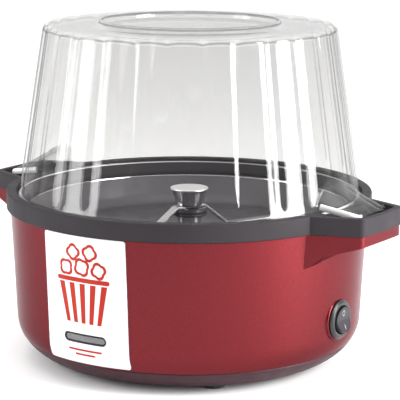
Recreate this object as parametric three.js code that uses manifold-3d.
// A stirring popcorn maker: a round heated pan in a painted body, a motor-driven stirring blade,
// and a clear fluted lid that turns over into a serving bowl.
// Millimetres, +Z up. The origin is on the table, under the middle of the base.
// The label faces -Y and the two handles lie along X.
import * as THREE from "three";
import { ConvexGeometry } from "three/addons/geometries/ConvexGeometry.js";
import { mergeVertices } from "three/addons/utils/BufferGeometryUtils.js";
import Module from "manifold-3d";

const wasm = await Module();
wasm.setup();

// ---- Driving dimensions ----
const GAP = 0.3; // between pieces that touch
const AROUND = 48; // facets round the large turned pieces
const INNER = 28; // facets round the turned pieces inside
const SMALL = 14; // facets round small pieces

// Heights above the table
const FLOOR_Z = 4; // underside of the base
const FLOOR_TOP = 6.5;
const BASE_TOP = 18; // seam between base cover and body shell
const CORNER_TOP = 35.2; // where the side wall starts to round into the base
const BODY_TOP = 118;
const RIM_TOP = 132;
const LEDGE_Z = 128.4; // the step in the rim that the lid stands on
const HANDLE_FLOOR_Z = 123.5; // floor of the recess that takes the lid's lug
const PAN_RIM_Z = 119;
const PAN_FLOOR_Z = 97.5;
const PAN_UNDER_Z = 95;
const LID_TOP = 260.5;
const LID_RING_TOP = 263.5;

// Radii
const BODY_R = 139.5; // at BODY_TOP
const BODY_DRAFT = 0.052; // radius lost for each millimetre down
const CORNER_IN = 48; // how far the rounded corner would come in
const CORNER_HEIGHT = 36;
const CORNER_POWER = 2.1;
const RIM_R = 142.5;
const LIP_R = 134.8; // inside of the rim's raised lip
const LEDGE_R = 129.8; // inside of the ledge
const RIM_INNER_R = 126.2;
const PAN_R = 131; // pan flange
const PAN_FLOOR_R = 110;
const LID_BASE_R = 133.6;
const LID_TOP_R = 113;
const LID_RING_R = 69;
const LID_WALL = 2.6;
const FLUTES = 28;
const FLUTE_DEPTH = 1.8;
const WALL = 2.3; // plastic shells

// Handles and the lugs of the lid
const HANDLE_CORNER = [172, 30.5]; // outer corner
const HANDLE_ROOT = [128, 47.3]; // where its sides run into the body
const HANDLE_BULGE = 1.5; // how far the outer edge bows out
const HANDLE_WALL = 5; // round the recess
const LUG_TIP = 164;
const LUG_CORNER = 4;
const LID_WALL_X = 131; // where a lug leaves the lid's wall
// Each pair is a value at the lid's wall and at the tip.
const LUG_SIDE_HALF = [25, 21.5];
const LUG_SIDE_Z = [137, 131.2];
const LUG_CROWN_HALF = [11, 14];
const LUG_CROWN_Z = [150.5, 132];

// Stirrer and drive
const BLADE_ANGLE = 68; // where the blade stands at rest
const BLADE_WIDTH = 8;
const BLADE_T = 1.5;
const BLADE_TOP = 117.8;
const SHAFT_R = 4;
const SHAFT_TOP = 107.5;
const MODULE = 0.8; // of the gear pair
const PINION_TEETH = 10;
const WHEEL_TEETH = 40;
const GEAR_Z = [53, 57];
const ROTOR_X = -(MODULE * (PINION_TEETH + WHEEL_TEETH)) / 2;
const MOTOR_X = -9;
const MOTOR_R = 29;
const MOTOR_Z = [36, 62];
const MOTOR_EARS = [-43, 25];

// Switch, lamp and cord gland
const SWITCH_Z = 46;
const SWITCH_R = 15;
const SWITCH_FACE = 136.6; // where the bezel meets the body's flat pad
const ROCKER_PIVOT = 138.6;
const ROCKER_TILT = 8; // either way from level
const LABEL_HALF = 36;
const LABEL_Z = [20.7, 117.5];
const SLOT_Z = 40;
const SLOT = [38, 7.5];
const GLAND_Z = 42;

// Places that repeat round the base
const QUARTERS = [45, 135, 225, 315];
const FOOT_R = 100;
const BASE_SCREW_R = 104;
const BASE_SCREWS = [22.5, 112.5, 202.5, 292.5];
const THIRDS = [90, 210, 330];
const PAN_POST_R = 92;
const POST_TOP = 82;
const SHIELD_Z = 82.3;
const ELEMENT_R = 75;
const ELEMENT_TUBE = 3.25;

// ---- Materials ----
const material = (color, roughness, metalness = 0, more = {}) =>
  new THREE.MeshStandardMaterial({ color, roughness, metalness, ...more });
const RED = material(0xa5262f, 0.25, 0.45);
const CHARCOAL = material(0x3b373b, 0.45);
const NON_STICK = material(0x4a4649, 0.38, 0.3);
const CLEAR = material(0xf2f2f2, 0.05, 0, { transparent: true, opacity: 0.3 });
const WHITE = material(0xf5f4f6, 0.35);
const SMOKE = material(0x9a9a9c, 0.15, 0, { transparent: true, opacity: 0.6 });
const BLACK = material(0x232225, 0.35);
const RUBBER = material(0x1b1b1b, 0.8);
const STEEL = material(0xb9babd, 0.28, 1);
const TINPLATE = material(0xa8a9a6, 0.4, 1);
const BRASS = material(0xb5924a, 0.35, 1);
const CERAMIC = material(0xe9e4d8, 0.6);
const COPPER = material(0x9c5a34, 0.45, 0.6);
const NYLON = material(0xe7e3d6, 0.5);

const popcornMaker = new THREE.Group();

function add(name, geometry, surface) {
  const mesh = new THREE.Mesh(geometry, surface);
  mesh.name = name;
  popcornMaker.add(mesh);
  return mesh;
}

// ---- Shape helpers ----
const radians = THREE.MathUtils.degToRad;
const polar = (radius, degrees) => [
  radius * Math.cos(radians(degrees)),
  radius * Math.sin(radians(degrees)),
];

// A solid turned about Z from an outline of [radius, height] points.
function turned(outline, segments = AROUND) {
  const points = outline.map(([r, z]) => new THREE.Vector2(r, z));
  const onAxis = outline[0][0] === 0 && outline.at(-1)[0] === 0;
  if (THREE.ShapeUtils.area(points) < 0) points.reverse();
  if (!onAxis) points.push(points[0].clone());
  return new THREE.LatheGeometry(points, segments).rotateX(Math.PI / 2);
}

// An upright prism of an [x, y] outline between two heights.
function prism(outline, low, high) {
  const shape = new THREE.Shape(outline.map(([x, y]) => new THREE.Vector2(x, y)));
  const options = { depth: high - low, bevelEnabled: false };
  return new THREE.ExtrudeGeometry(shape, options).translate(0, 0, low);
}

// An upright rod, or along X or Y when an axis is given; from and to are measured along it.
function rod(radius, from, to, x = 0, y = 0, segments = SMALL) {
  const made = new THREE.CylinderGeometry(radius, radius, to - from, segments);
  return made.rotateX(Math.PI / 2).translate(x, y, (from + to) / 2);
}
const alongX = (radius, from, to, y, z, segments = SMALL) =>
  rod(radius, from, to, 0, 0, segments).rotateY(Math.PI / 2).translate(0, y, z);
const alongY = (radius, from, to, x, z, segments = SMALL) =>
  rod(radius, from, to, 0, 0, segments).rotateX(-Math.PI / 2).translate(x, 0, z);

function block([x0, x1], [y0, y1], [z0, z1]) {
  const made = new THREE.BoxGeometry(x1 - x0, y1 - y0, z1 - z0);
  return made.translate((x0 + x1) / 2, (y0 + y1) / 2, (z0 + z1) / 2);
}

// A slot shape with round ends in the XZ plane, cut along Y.
function stadium(width, height, y0, y1, z) {
  const r = height / 2;
  const shape = new THREE.Shape();
  shape.absarc(width / 2 - r, 0, r, -Math.PI / 2, Math.PI / 2);
  shape.absarc(-width / 2 + r, 0, r, Math.PI / 2, (3 * Math.PI) / 2);
  const options = { depth: y1 - y0, bevelEnabled: false, curveSegments: 6 };
  return new THREE.ExtrudeGeometry(shape, options)
    .rotateX(Math.PI / 2)
    .translate(0, y1, z);
}

// A tube of given radius along a smooth curve through points.
function tube(points, radius, steps, sides = 8) {
  const curve = new THREE.CatmullRomCurve3(points.map((p) => new THREE.Vector3(...p)));
  const corners = Array.from({ length: sides }, (_, i) => polar(radius, (i * 360) / sides));
  const section = new THREE.Shape(corners.map(([x, y]) => new THREE.Vector2(x, y)));
  return new THREE.ExtrudeGeometry(section, { steps, extrudePath: curve });
}

// ---- Booleans ----
function solid(geometry) {
  if (geometry instanceof wasm.Manifold) return geometry;
  const bare = geometry.index ? geometry.toNonIndexed() : geometry.clone();
  bare.deleteAttribute("normal");
  bare.deleteAttribute("uv");
  const merged = mergeVertices(bare, 1e-3);
  const vertProperties = merged.attributes.position.array;
  const triVerts = new Uint32Array(merged.index.array);
  return new wasm.Manifold(new wasm.Mesh({ numProp: 3, vertProperties, triVerts }));
}
const join = (...pieces) => pieces.map(solid).reduce((a, b) => a.add(b));
const cut = (from, ...tools) => tools.reduce((a, b) => a.subtract(solid(b)), solid(from));
const common = (a, b) => solid(a).intersect(solid(b));

function geometry(manifold) {
  const mesh = manifold.getMesh();
  const position = new THREE.BufferAttribute(new Float32Array(mesh.vertProperties), 3);
  return new THREE.BufferGeometry()
    .setAttribute("position", position)
    .setIndex(new THREE.BufferAttribute(new Uint32Array(mesh.triVerts), 1));
}

// ---- Body ----
// Outer radius of body and base at a height: a drafted wall that rounds into the underside.
function bodyRadius(z) {
  if (z >= CORNER_TOP) return BODY_R - (BODY_TOP - z) * BODY_DRAFT;
  const drop = (CORNER_TOP - z) / CORNER_HEIGHT;
  const inward = 1 - (1 - drop ** CORNER_POWER) ** (1 / CORNER_POWER);
  return bodyRadius(CORNER_TOP) - CORNER_IN * inward;
}

// Points of that profile at the given heights, moved square to the surface by an offset.
function skin(heights, offset) {
  const step = 0.05;
  return heights.map((z) => {
    const slope = (bodyRadius(z + step) - bodyRadius(z - step)) / (2 * step);
    const length = Math.hypot(1, slope);
    return [bodyRadius(z) + offset / length, z - (offset * slope) / length];
  });
}

const mirrored = (outline, side) => outline.map(([x, y]) => [side * x, side * y]);

// Plan of a handle from x = root outwards, grown all round by an offset. side is 1 or -1.
function handlePlan(side, offset, root = HANDLE_ROOT[0]) {
  const [xc, yc] = HANDLE_CORNER;
  const flare = (HANDLE_ROOT[1] - yc) / (xc - HANDLE_ROOT[0]);
  const half = yc + flare * (xc - root) + offset;
  const edge = [-1, -0.6, -0.2, 0.2, 0.6, 1].map((t) => [
    xc + offset + HANDLE_BULGE * (1 - t * t),
    t * (yc + offset),
  ]);
  return mirrored([[root, -half], ...edge, [root, half]], side);
}

// The bracket under each handle, hollowed from above. Its lower edge sweeps down to the body.
function wing(side) {
  const sweep = [
    [170.5, 110],
    [163.5, 107.8],
    [155.5, 105.5],
    [147.5, 103.2],
    [143, 101.2],
    [139, 98.4],
    [132, 92],
  ];
  const halfSpan = HANDLE_ROOT[1];
  const slab = (lift, top) => {
    const lower = sweep.map(([x, z]) => [x, z + lift]);
    const profile = [[176, top], [176, 112.2 + lift], ...lower, [125, 88 + lift], [125, top]];
    const shape = new THREE.Shape(profile.map(([x, z]) => new THREE.Vector2(x, z)));
    const made = new THREE.ExtrudeGeometry(shape, { depth: 2 * halfSpan, bevelEnabled: false });
    return made.rotateX(Math.PI / 2).translate(0, halfSpan, 0).rotateZ(side > 0 ? 0 : Math.PI);
  };
  const inset = 1.5;
  const outside = common(slab(0, BODY_TOP), prism(handlePlan(side, -inset), 80, BODY_TOP + 2));
  const plan = handlePlan(side, -inset - WALL);
  return cut(outside, common(slab(WALL, BODY_TOP + 1), prism(plan, 80, BODY_TOP + 2)));
}

function bodyShell() {
  const heights = [BODY_TOP, CORNER_TOP, 30, 24.5, BASE_TOP + GAP];
  const inner = skin(heights, -WALL);
  inner[0][1] = BODY_TOP;
  inner.at(-1)[1] = BASE_TOP + GAP;
  const wall = turned([...skin(heights, 0), ...inner.reverse()]);
  const core = turned([
    [0, BASE_TOP],
    [bodyRadius(BASE_TOP) - WALL, BASE_TOP],
    [bodyRadius(CORNER_TOP) - WALL, CORNER_TOP],
    [BODY_R - WALL, BODY_TOP],
    [BODY_R - WALL, BODY_TOP + 5],
    [0, BODY_TOP + 5],
  ]);
  const wings = [1, -1].map((side) => cut(wing(side), core));
  const pad = cut(alongX(SWITCH_R + 1.2, 130, SWITCH_FACE - GAP, 0, SWITCH_Z, 24), core);
  const bosses = BASE_SCREWS.map((angle) => {
    const [x, y] = polar(BASE_SCREW_R, angle);
    const rib = block([BASE_SCREW_R, bodyRadius(40) - 1], [-1, 1], [36, 58]);
    return join(rod(4.5, 11.3, 58, x, y, 8), rib.rotateZ(radians(angle)));
  });
  const holes = [
    alongX(12.5, 120, 140, 0, SWITCH_Z, 20),
    alongY(6.4, 120, 145, 0, GLAND_Z),
    stadium(...SLOT, -145, -120, SLOT_Z),
    ...BASE_SCREWS.map((angle) => rod(1.9, 10, 40, ...polar(BASE_SCREW_R, angle), 6)),
  ];
  add("body_shell", geometry(cut(join(wall, pad, ...wings, ...bosses), ...holes)), RED);
}

function baseCover() {
  const outer = skin([BASE_TOP, 13, 8.5, 5], 0);
  const inner = skin([BASE_TOP, 12, 7], -WALL);
  inner[0][1] = BASE_TOP;
  const underside = [[bodyRadius(FLOOR_Z) - 1, FLOOR_Z], [0, FLOOR_Z], [0, FLOOR_TOP]];
  const dish = turned([...outer, ...underside, [108, FLOOR_TOP], ...inner.reverse()]);
  const at = (angles, radius, make) => angles.map((angle) => make(...polar(radius, angle)));
  const raised = [
    ...at(QUARTERS, FOOT_R, (x, y) => rod(11, 5, 8.2, x, y, 14)),
    ...at(THIRDS, PAN_POST_R, (x, y) => rod(5.5, FLOOR_Z, POST_TOP, x, y, 10)),
    ...at(BASE_SCREWS, BASE_SCREW_R, (x, y) => rod(6, FLOOR_Z, 11, x, y, 8)),
    ...MOTOR_EARS.map((x) => rod(4, FLOOR_Z, MOTOR_Z[1], x, 0, 8)),
  ];
  const vents = Array.from({ length: 8 }, (_, i) =>
    block([34, 66], [-2, 2], [0, 8]).rotateZ(radians(22.5 + i * 45)),
  );
  const holes = [
    ...at(QUARTERS, FOOT_R, (x, y) => rod(9, 0, 5.4, x, y, 16)),
    ...at(THIRDS, PAN_POST_R, (x, y) => rod(2.3, 0, 90, x, y, 6)),
    ...at(THIRDS, PAN_POST_R, (x, y) => rod(4.2, 0, 10, x, y, 8)),
    ...at(BASE_SCREWS, BASE_SCREW_R, (x, y) => rod(1.9, 0, 15, x, y, 6)),
    ...at(BASE_SCREWS, BASE_SCREW_R, (x, y) => rod(4, 0, 8.2, x, y, 8)),
    ...MOTOR_EARS.map((x) => rod(1.6, 42, 70, x, 0, 6)),
  ];
  add("base_cover", geometry(cut(join(dish, ...raised), ...vents, ...holes)), CHARCOAL);
}

function rimRing() {
  const skirtR = BODY_R - WALL - 0.7;
  const section = [
    [RIM_R, BODY_TOP + GAP],
    [RIM_R, RIM_TOP - 1.2],
    [RIM_R - 1.2, RIM_TOP],
    [LIP_R + 0.4, RIM_TOP],
    [LIP_R, LEDGE_Z],
    [LEDGE_R, LEDGE_Z],
    [RIM_INNER_R, 122.5],
    [RIM_INNER_R, PAN_RIM_Z + GAP],
    [PAN_R + 0.5, PAN_RIM_Z + GAP],
    [PAN_R + 0.5, 114.5],
    [skirtR, 114.5],
    [skirtR, BODY_TOP + GAP],
  ];
  const inside = rod(RIM_R - 4, 100, 150, 0, 0, AROUND);
  const grips = [1, -1].map((side) =>
    cut(prism(handlePlan(side, 0), BODY_TOP + GAP, RIM_TOP), inside),
  );
  const recesses = [1, -1].flatMap((side) => [
    prism(lugPlan(side, 4, 124, 150), LEDGE_Z, RIM_TOP + 5),
    prism(handlePlan(side, -HANDLE_WALL, 144), HANDLE_FLOOR_Z, RIM_TOP + 5),
  ]);
  add("rim_ring", geometry(cut(join(turned(section), ...grips), ...recesses)), CHARCOAL);
}

function heatingPan() {
  const plate = 2.4;
  const section = [
    [PAN_R, PAN_RIM_Z],
    [125, PAN_RIM_Z],
    [122.6, 117.6],
    [115.8, 103.4],
    [PAN_FLOOR_R, PAN_FLOOR_Z],
    [13, PAN_FLOOR_Z],
    [13, PAN_FLOOR_Z + 1],
    [6.4, PAN_FLOOR_Z + 1],
    [6.4, PAN_UNDER_Z],
    [PAN_FLOOR_R + 1, PAN_UNDER_Z],
    [118.2, 102.4],
    [124.5, PAN_RIM_Z - plate],
    [PAN_R, PAN_RIM_Z - plate],
  ];
  const posts = THIRDS.map((angle) => polar(PAN_POST_R, angle));
  const studs = posts.map(([x, y]) => rod(5, 90, PAN_UNDER_Z + 0.5, x, y, 10));
  const holes = posts.map(([x, y]) => rod(2.3, 88, 94, x, y, 6));
  add("heating_pan", geometry(cut(join(turned(section), ...studs), ...holes)), NON_STICK);
}

// ---- Lid ----
// A value at a distance x from the centre, given its values at the lid's wall and at a lug's tip.
function alongLug(x, [atWall, atTip]) {
  return atWall + ((atTip - atWall) * (x - LID_WALL_X)) / (LUG_TIP - LID_WALL_X);
}

// Plan of a lid lug between two distances from the centre, grown all round by an offset.
function lugPlan(side, offset, from, to) {
  const half = (x) => alongLug(x, LUG_SIDE_HALF) + offset;
  const corner = to - LUG_CORNER;
  const outline = [
    [from, -half(from)],
    [corner, -half(corner)],
    [to, -half(to) + LUG_CORNER],
    [to, half(to) - LUG_CORNER],
    [corner, half(corner)],
    [from, half(from)],
  ];
  return mirrored(outline, side);
}

// Flutes bulge outwards between sharp valleys, and fade out at the rim and on the crown.
function flute(body) {
  const place = body.getAttribute("position");
  for (let i = 0; i < place.count; i++) {
    const [x, y, z] = [place.getX(i), place.getY(i), place.getZ(i)];
    const radius = Math.hypot(x, y);
    const low = THREE.MathUtils.smoothstep(z, LEDGE_Z + 5, LEDGE_Z + 14);
    const crown = THREE.MathUtils.smoothstep(radius, LID_TOP_R - 14, LID_TOP_R - 3);
    const valley = 1 - Math.abs(Math.sin((Math.atan2(y, x) * FLUTES) / 2));
    const scale = 1 - (FLUTE_DEPTH * valley * low * crown) / Math.max(radius, 1);
    place.setXY(i, x * scale, y * scale);
  }
  return body;
}

// A lug's arched tongue, shrunk all round by an inset: high in the middle at the lid, flat at the tip.
function tongue(side, inset, under) {
  const tip = LUG_TIP - inset;
  const back = 122;
  const sections = [back, tip - LUG_CORNER, tip].map((x) => {
    const half = alongLug(x, LUG_SIDE_HALF) - inset - (x === tip ? LUG_CORNER : 0);
    const crown = Math.min(alongLug(x, LUG_CROWN_HALF), half) - inset / 2;
    return [
      [x, crown, alongLug(x, LUG_CROWN_Z) - inset],
      [x, half, alongLug(x, LUG_SIDE_Z) - inset],
      [x, half, under],
    ];
  });
  const points = sections.flat().flatMap(([x, y, z]) => [
    new THREE.Vector3(side * x, y, z),
    new THREE.Vector3(side * x, -y, z),
  ]);
  return new ConvexGeometry(points);
}

function lidBowl() {
  const bottom = LEDGE_Z + GAP;
  const skirt = LID_BASE_R - 2;
  const outer = [
    [LID_BASE_R, bottom],
    [LID_BASE_R, bottom + 2.8],
    [LID_BASE_R - 1.2, bottom + 4.5],
    [skirt, bottom + 14],
    [LID_TOP_R + 1, LID_TOP - 5],
    [LID_TOP_R - 0.6, LID_TOP - 1.6],
    [LID_TOP_R - 3.4, LID_TOP],
    [LID_RING_R + 1.6, LID_TOP],
    [LID_RING_R + 1, LID_RING_TOP],
    [LID_RING_R - 1.6, LID_RING_TOP],
    [LID_RING_R - 2.4, LID_TOP - 1],
    [0, LID_TOP - 1],
  ];
  const inner = [
    [0, LID_TOP - 1 - LID_WALL],
    [LID_TOP_R - 7, LID_TOP - LID_WALL],
    [LID_TOP_R - 2.2, LID_TOP - 6],
    [skirt - LID_WALL, bottom + 14],
    [LID_BASE_R - LID_WALL, bottom],
  ];
  const outline = [...inner, ...outer];
  const bowl = flute(turned(outline, FLUTES * 2));
  const midWall = skirt - LID_WALL + 0.4;
  const hollow = turned([
    [0, 100],
    [LID_BASE_R - 1, 100],
    [LID_BASE_R - 1, bottom + 2],
    [midWall, bottom + 14],
    [midWall - 2.3, bottom + 32],
    [0, bottom + 32],
  ]);
  const lugs = [1, -1].map((side) => {
    const lip = prism(lugPlan(side, 0, 147, LUG_TIP), HANDLE_FLOOR_Z + 2.4, RIM_TOP - 2);
    const relief = tongue(side, LID_WALL, 110);
    return cut(join(tongue(side, 0, bottom), lip), relief, hollow);
  });
  add("lid_bowl", geometry(join(bowl, ...lugs)), CLEAR);
}

// ---- Stirrer ----
function stirrer() {
  const bottom = PAN_FLOOR_Z + 2.4;
  const post = rod(3, 109, 128.5, 0, 0, 10);
  const barrel = [[0, bottom], [9.4, bottom], [9.4, 107.6], [10.2, 109.7], [0, 109.7]];
  const keyway = cut(
    rod(SHAFT_R + GAP, 90, SHAFT_TOP + 0.5),
    block([SHAFT_R - 1.2 + GAP, 8], [-8, 8], [80, 120]),
  );
  add("stirrer_hub", geometry(cut(join(turned(barrel, 20), post), keyway)), STEEL);
  const ribs = [[13, 110], [14.4, 111.1], [13.5, 112.4], [14.4, 113.7], [13.2, 116]];
  add("stirrer_collar", turned([[3.4, 110], ...ribs, [3.4, 116]], 20), BLACK);
  const cone = [[3.4, 118.1], [10.2, 118.1], [13.8, 130.3], [14.6, 130.5]];
  const disc = [[15, 131], [14.7, 131.9], [0, 132], [0, 128.9], [3.4, 128.9]];
  add("stirrer_knob", turned([...cone, ...disc], 24), STEEL);
  add("stirrer_blade", geometry(bladeStrip()), STEEL);
}

// A flat strip, level over the hub, that slopes down to the pan and runs out along its floor.
function bladeStrip() {
  const low = PAN_FLOOR_Z + 1.2 + BLADE_T / 2;
  const high = BLADE_TOP - BLADE_T / 2;
  const half = [[13, high], [36.5, low], [99, low], [103, low + 3]];
  const line = [...half.map(([r, z]) => [-r, z]).reverse(), ...half];
  const points = line.map(([r, z]) => new THREE.Vector2(r, z));
  const across = (a, b) => new THREE.Vector2(a.y - b.y, b.x - a.x).normalize();
  const edge = (sign) =>
    points.map((point, i) => {
      const before = across(points[Math.max(i - 1, 0)], points[Math.max(i, 1)]);
      const last = points.length - 1;
      const after = across(points[Math.min(i, last - 1)], points[Math.min(i + 1, last)]);
      const mitre = before.clone().add(after).normalize();
      return point.clone().addScaledVector(mitre, (sign * BLADE_T) / 2 / mitre.dot(before));
    });
  const shape = new THREE.Shape([...edge(-1), ...edge(1).reverse()]);
  const strip = new THREE.ExtrudeGeometry(shape, { depth: BLADE_WIDTH, bevelEnabled: false })
    .rotateX(Math.PI / 2)
    .translate(0, BLADE_WIDTH / 2, 0)
    .rotateZ(radians(BLADE_ANGLE));
  const eye = rod(7.5, BLADE_TOP - BLADE_T, BLADE_TOP);
  return cut(join(strip, eye), rod(3.4, 100, 130));
}

// ---- Drive ----
// A spur gear: each tooth is a trapezium between the root and the tip circle.
function gearPlan(teeth, turn) {
  const backlash = 0.15;
  const pitch = (MODULE * teeth) / 2;
  const step = 360 / teeth;
  const width = step / 2 - THREE.MathUtils.radToDeg(backlash / pitch);
  const tooth = (centre) => [
    polar(pitch - 1.3 * MODULE, centre - width * 0.75),
    polar(pitch + 0.85 * MODULE, centre - width * 0.25),
    polar(pitch + 0.85 * MODULE, centre + width * 0.25),
    polar(pitch - 1.3 * MODULE, centre + width * 0.75),
  ];
  return Array.from({ length: teeth }, (_, i) => tooth(turn + i * step)).flat();
}

function drive() {
  const flat = block([SHAFT_R - 1.2, 8], [-8, 8], [99, 130]);
  const shaft = join(rod(SHAFT_R, 51, SHAFT_TOP), rod(5.6, 58, 61));
  add("drive_shaft", geometry(cut(shaft, flat)), STEEL);
  const wheel = prism(gearPlan(WHEEL_TEETH, 180), ...GEAR_Z);
  add("output_gear", geometry(cut(wheel, rod(SHAFT_R + GAP, 50, 70))), NYLON);
  const pinion = prism(gearPlan(PINION_TEETH, 180 / PINION_TEETH), ...GEAR_Z);
  const bored = geometry(cut(pinion, rod(1.5, 50, 70, 0, 0, 8)));
  add("motor_pinion", bored.translate(ROTOR_X, 0, 0), BRASS);
  const magnet = rod(7.5, 38.6, 49.6, 0, 0, 20);
  const rotor = geometry(join(magnet, rod(1.2, 37.4, 60, 0, 0, 8)));
  add("motor_rotor", rotor.translate(ROTOR_X, 0, 0), TINPLATE);
}

function motor() {
  const [low, high] = MOTOR_Z;
  const inside = MOTOR_R - 1;
  const outer = [[0, low], [MOTOR_R, low], [MOTOR_R, high]];
  const can = turned([...outer, [inside, high], [inside, low + 1], [0, low + 1]], INNER);
  add("motor_can", can.translate(MOTOR_X, 0, 0), TINPLATE);
  const coil = turned([[8.4, 38], [16.2, 38], [16.2, 50.2], [8.4, 50.2]], 20);
  add("motor_coil", coil.translate(ROTOR_X, 0, 0), COPPER);
  const ears = block([MOTOR_X - 40, MOTOR_X + 40], [-6, 6], [high + GAP, high + 1.8]);
  const plate = join(rod(MOTOR_R, high + GAP, high + 1.8, MOTOR_X, 0, INNER), ears);
  const holes = [rod(4.6, 60, 72), ...MOTOR_EARS.map((x) => rod(1.8, 60, 72, x, 0, 8))];
  add("motor_cover", geometry(cut(plate, ...holes)), TINPLATE);
  MOTOR_EARS.forEach((x, i) => {
    const head = rod(3, high + 2.1, high + 4, x, 0, 12);
    add("motor_screw_" + (i + 1), geometry(join(head, rod(1.2, 45, 65, x, 0, 8))), STEEL);
  });
}

function bushAndNut() {
  const top = PAN_FLOOR_Z + 1 + GAP;
  const sleeve = [[SHAFT_R + GAP, 85], [6, 85], [6, top]];
  const flange = [[8.6, top], [8, top + 0.8], [SHAFT_R + GAP, top + 0.8]];
  add("shaft_bush", turned([...sleeve, ...flange], 20), BRASS);
  const nut = cut(rod(9, 91, PAN_UNDER_Z - GAP, 0, 0, 6), rod(6.3, 85, 100, 0, 0, 20));
  add("bush_nut", geometry(nut), STEEL);
}

// ---- Heating ----
function heating() {
  const z = SHIELD_Z;
  const dish = [[12, z], [104, z], [112, z + 6.7], [112, z + 7.7], [103.6, z + 1], [12, z + 1]];
  const holes = [
    ...THIRDS.map((angle) => rod(2.6, 75, 95, ...polar(PAN_POST_R, angle), 6)),
    ...[20, -20].map((angle) => rod(5.5, 75, 95, ...polar(ELEMENT_R, angle), 8)),
    rod(10.5, 75, 95, 38, -34, 12),
  ];
  add("heat_shield", geometry(cut(turned(dish, INNER), ...holes)), TINPLATE);

  const level = PAN_UNDER_Z - GAP - ELEMENT_TUBE;
  const loop = Array.from({ length: 17 }, (_, i) => [...polar(ELEMENT_R, 30 + i * 18.75), level]);
  const end = (side) => [
    [...polar(ELEMENT_R, 20 * side), 74],
    [...polar(ELEMENT_R, 20 * side), 80],
    [...polar(ELEMENT_R, 20.6 * side), 86.5],
    [...polar(ELEMENT_R, 24.5 * side), 90.4],
  ];
  add("heating_element", tube([...end(1), ...loop, ...end(-1).reverse()], ELEMENT_TUBE, 44, 6), STEEL);

  [60, 180, 300].forEach((angle, i) => {
    const slot = ELEMENT_TUBE + 0.5;
    const strap = block([ELEMENT_R - 6, ELEMENT_R + 6], [-4, 4], [level - 5, level + 3.25]);
    const channel = block([ELEMENT_R - slot, ELEMENT_R + slot], [-9, 9], [level - slot, level + 9]);
    const saddle = geometry(cut(strap, channel)).rotateZ(radians(angle));
    add("element_clip_" + (i + 1), saddle, TINPLATE);
  });
  THIRDS.forEach((angle, i) => {
    const [x, y] = polar(PAN_POST_R, angle);
    const spacer = turned([[2.5, 83.6], [6, 83.6], [6, 89.7], [2.5, 89.7]], 10);
    add("ceramic_spacer_" + (i + 1), spacer.translate(x, y, 0), CERAMIC);
    const screw = join(rod(3.6, 7.2, 9.7, x, y, 10), rod(1.9, 8, 93.5, x, y, 8));
    add("pan_screw_" + (i + 1), geometry(screw), STEEL);
  });
  const blades = [-3.5, 3.5].map((dx) => block([37.6 + dx, 38.4 + dx], [-37, -31], [78, 87]));
  const body = rod(8, 86, 91.5, 38, -34);
  const cap = rod(6.8, 91, PAN_UNDER_Z - GAP, 38, -34);
  add("thermostat", geometry(join(body, cap, ...blades)), CERAMIC);
  const fuse = join(alongX(2.4, -52, -30, -34, 92), alongX(0.6, -60, -22, -34, 92, 6));
  add("thermal_fuse", geometry(fuse), CERAMIC);
}

// ---- Front label, lamp, switch, gland ----
function frontPanel() {
  const [low, high] = LABEL_Z;
  const heights = [high + 0.4, CORNER_TOP, 30, 24.5, low - 2];
  const sheet = turned([...skin(heights, GAP), ...skin(heights, GAP + 1).reverse()]);
  const r = 3;
  const face = new THREE.Shape();
  face.absarc(LABEL_HALF - r, high - r, r, 0, Math.PI / 2);
  face.absarc(-LABEL_HALF + r, high - r, r, Math.PI / 2, Math.PI);
  face.absarc(-LABEL_HALF + r, low + r, r, Math.PI, 1.5 * Math.PI);
  face.absarc(LABEL_HALF - r, low + r, r, 1.5 * Math.PI, 2 * Math.PI);
  const options = { depth: 60, bevelEnabled: false, curveSegments: 3 };
  const front = new THREE.ExtrudeGeometry(face, options)
    .rotateX(Math.PI / 2)
    .translate(0, -100, 0);
  const window = stadium(SLOT[0], SLOT[1], -150, -100, SLOT_Z);
  add("label_panel", geometry(cut(common(sheet, front), window)), WHITE);

  const wall = bodyRadius(SLOT_Z);
  const [width, height] = SLOT.map((size) => size - 0.8);
  const faced = turned([[0, 36], ...skin([CORNER_TOP, 50], 0.9), [0, 50]]);
  const pane = common(stadium(width, height, -wall - 3, -wall + 5.5, SLOT_Z), faced);
  const flange = block([-22, 22], [-wall + 5, -wall + 6.4], [SLOT_Z - 5.5, SLOT_Z + 5.5]);
  add("indicator_lens", geometry(join(pane, flange)), SMOKE);

  const seat = -wall + 8;
  const bulb = alongX(2.2, -8, 8, seat + 2.4, SLOT_Z, 10);
  const holder = block([-12, 12], [seat + 6, seat + 9], [SLOT_Z - 5, SLOT_Z + 5]);
  const legs = [-6, 6].map((x) =>
    block([x - 1, x + 1], [seat + 2.4, seat + 7], [SLOT_Z - 1, SLOT_Z + 1]),
  );
  add("indicator_lamp", geometry(join(bulb, holder, ...legs)), CERAMIC);
}

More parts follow.
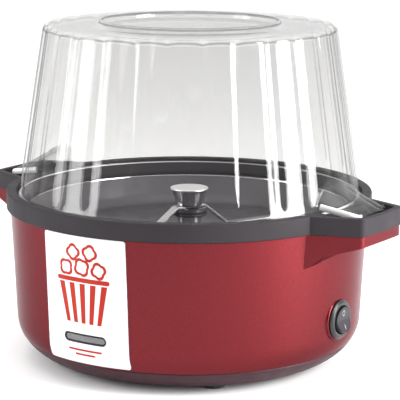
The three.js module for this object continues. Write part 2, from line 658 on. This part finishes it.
function powerSwitch() {
  const front = SWITCH_FACE + 2.6;
  const bezel = [[SWITCH_R, SWITCH_FACE], [SWITCH_R, SWITCH_FACE + 1.2], [13.4, front]];
  const flange = turned([[0, SWITCH_FACE], ...bezel, [0, front]], 24).rotateY(Math.PI / 2);
  const barrel = alongX(12, 116, SWITCH_FACE + 1, 0, 0, 24);
  const tabs = [-5, 5].map((z) => block([108, 117], [-3, 3], [z - 0.4, z + 0.4]));
  const well = alongX(10.6, 124, 150, 0, 0, 24);
  const housing = geometry(cut(join(flange, barrel, ...tabs), well));
  add("switch_housing", housing.translate(0, 0, SWITCH_Z), BLACK);

  // The rocker is a slice of a ball about its pivot, with two faces that meet in a valley.
  const ball = new THREE.SphereGeometry(10.1, 20, 12).rotateX(Math.PI / 2);
  const face = [[3.4, 9.4], [2.1, 4.5], [1.6, 0], [2.1, -4.5], [3.4, -9.4]];
  const profile = [[-6, -7.4], [-6, 7.4], [0, 11], [3, 11], ...face, [3, -11], [0, -11]];
  const shape = new THREE.Shape(profile.map(([x, z]) => new THREE.Vector2(x, z)));
  const slab = new THREE.ExtrudeGeometry(shape, { depth: 24, bevelEnabled: false })
    .rotateX(Math.PI / 2)
    .translate(0, 12, 0);
  const rocker = geometry(common(slab, ball)).rotateY(radians(-ROCKER_TILT));
  add("switch_rocker", rocker.translate(ROCKER_PIVOT, 0, SWITCH_Z), BLACK);
}

function cordGland() {
  const wall = bodyRadius(GLAND_Z);
  const sleeve = [[3.7, wall - 12], [5.9, wall - 12], [5.9, wall + 0.7]];
  const flange = [[9, wall + 0.7], [8.4, wall + 3], [3.7, wall + 3]];
  const gland = turned([...sleeve, ...flange], 20).rotateX(-Math.PI / 2);
  add("cord_gland", gland.translate(0, 0, GLAND_Z), BLACK);
}

// ---- Feet, fasteners and wiring ----
function feetAndScrews() {
  QUARTERS.forEach((angle, i) => {
    const foot = turned([[0, 0], [7.4, 0], [8.5, 1.2], [8.6, 5.1], [0, 5.1]], 20);
    add("foot_" + (i + 1), foot.translate(...polar(FOOT_R, angle), 0), RUBBER);
  });
  BASE_SCREWS.forEach((angle, i) => {
    const [x, y] = polar(BASE_SCREW_R, angle);
    const screw = join(rod(3.3, 5.8, 7.9, x, y, 10), rod(1.5, 7, 36, x, y, 8));
    add("base_screw_" + (i + 1), geometry(screw), STEEL);
  });
}

function wiring() {
  const shape = block([-76, -44], [41, 57], [FLOOR_TOP + GAP, 20]);
  const ways = [-68, -60, -52].map((x) => rod(2.6, 12, 25, x, 49, 8));
  add("terminal_block", geometry(cut(shape, ...ways)), NYLON);
  const leads = {
    wire_switch: [[-43, 54, 12], [0, 66, 10], [50, 62, 14], [88, 22, 26], [98, 4, 40], [107, 0, 49.2]],
    wire_element: [[-43, 46, 15], [-10, 56, 30], [30, 62, 46], [62, 42, 60], [70.5, 25.7, 73]],
    wire_motor: [[-60, 40, 12], [-58, 34, 18], [-50, 26, 32], [-37, 16.6, 46]],
    wire_lamp: [[0, -116, 40], [12, -103, 35], [33, -82, 31], [58, -60, 30], [98, -6, 34], [107.2, 0, 39]],
  };
  Object.entries(leads).forEach(([name, route]) => add(name, tube(route, 1.1, 12, 5), RUBBER));
}

bodyShell();
baseCover();
rimRing();
heatingPan();
lidBowl();
stirrer();
drive();
motor();
bushAndNut();
heating();
frontPanel();
powerSwitch();
cordGland();
feetAndScrews();
wiring();

export default popcornMaker;
